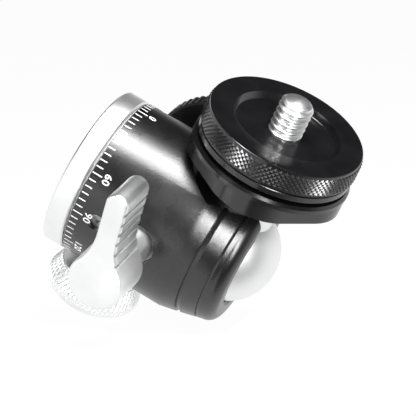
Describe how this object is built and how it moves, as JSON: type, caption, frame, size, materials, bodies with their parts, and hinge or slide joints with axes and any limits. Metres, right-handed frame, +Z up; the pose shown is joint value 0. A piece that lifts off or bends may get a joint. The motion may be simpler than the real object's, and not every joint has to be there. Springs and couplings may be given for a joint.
{
  "type": "tripod ball head",
  "caption": "Small tripod ball head with a side drop notch, a knurled camera disc on a threaded stud, a lock lever, a round drag knob and a panning lock knob over a turning base.",
  "frame": {"origin": "centre of the base's lower face, which sits on the tripod", "axes": "+Z up the head's axis from the base to the ball; +X towards the lock lever, -X towards the drag knob, +Y towards the panning knob; -Y is the drop notch, in which the stem with the camera disc lies at rest"},
  "size_m": [0.059, 0.0583, 0.0457],
  "materials": {
    "silver_body": "satin anodised",
    "steel": "turned",
    "acetal": "smooth",
    "black_body": "satin black anodised",
    "plain_aluminium": "turned",
    "silver_lever": "matte anodised",
    "black_knob": "satin black anodised with a fine straight knurl",
    "silver_knob": "matte anodised",
    "brass": "turned",
    "silver_ball": "fine matte",
    "silver_stud": "bright turned",
    "dark_washer": "smooth",
    "black_disc": "satin black anodised with a knurled rim"
  },
  "bodies": {
    "base": {"pan_base": "silver_body", "thread_bush": "steel", "pan_washer": "acetal", "keeper_washer": "steel", "keeper_screw": "steel"},
    "head": {"head_body": "black_body", "bearing_plug": "plain_aluminium", "pan_sleeve": "acetal", "plug_screws": "steel", "seat_ring": "acetal", "lever_washer": "acetal", "drag_washer": "acetal"},
    "clamp": {"thrust_plate": "steel", "preload_spring": "steel", "ball_cup": "acetal"},
    "lock_lever": {"cam_shaft": "steel", "lever_clip": "steel", "lever": "silver_lever", "lever_grub_screw": "steel"},
    "drag_control": {"drag_shaft": "steel", "drag_clip": "steel", "drag_knob": "black_knob", "drag_screw": "steel"},
    "pan_control": {"pan_knob": "silver_knob", "pan_lock_screw": "steel"},
    "brake": {"brake_shoe": "brass"},
    "tilting_ball": {"ball": "silver_ball", "lower_plate": "black_body", "camera_stud": "silver_stud", "friction_washer": "dark_washer"},
    "disc": {"camera_disc": "black_disc"}
  },
  "joints": [
    {"name": "pan", "type": "hinge", "parent": "base", "child": "head", "pos_m": [0, 0, 0], "axis": [0, 0, 1], "continuous": true},
    {"name": "lever_turn", "type": "hinge", "parent": "head", "child": "lock_lever", "pos_m": [0, 0, 0.0173], "axis": [1, 0, 0], "range_deg": [-70, 5]},
    {"name": "clamp_lift", "type": "slide", "parent": "head", "child": "clamp", "axis": [0, 0, 1], "range_m": [-0.00005, 0.00001]},
    {"name": "drag_turn", "type": "hinge", "parent": "head", "child": "drag_control", "pos_m": [0, 0, 0.0173], "axis": [-1, 0, 0], "range_deg": [0, 160]},
    {"name": "pan_lock_turn", "type": "hinge", "parent": "head", "child": "pan_control", "pos_m": [0, 0, 0.0102], "axis": [0, 1, 0], "range_deg": [0, 135]},
    {"name": "brake_slide", "type": "slide", "parent": "head", "child": "brake", "axis": [0, 1, 0], "range_m": [-0.0001, 0.0006]},
    {"name": "ball_tilt", "type": "hinge", "parent": "head", "child": "tilting_ball", "pos_m": [0, 0, 0.03058], "axis": [-1, 0, 0], "range_deg": [0, 112]},
    {"name": "disc_turn", "type": "hinge", "parent": "tilting_ball", "child": "disc", "pos_m": [0, -0.025, 0.03058], "axis": [0, -1, 0], "continuous": true}
  ],
  "couplings": [
    {"joint": "clamp_lift", "follows": "lever_turn", "m_per_rad": 0.00004},
    {"joint": "brake_slide", "follows": "pan_lock_turn", "m_per_rad": 0.0001273}
  ]
}
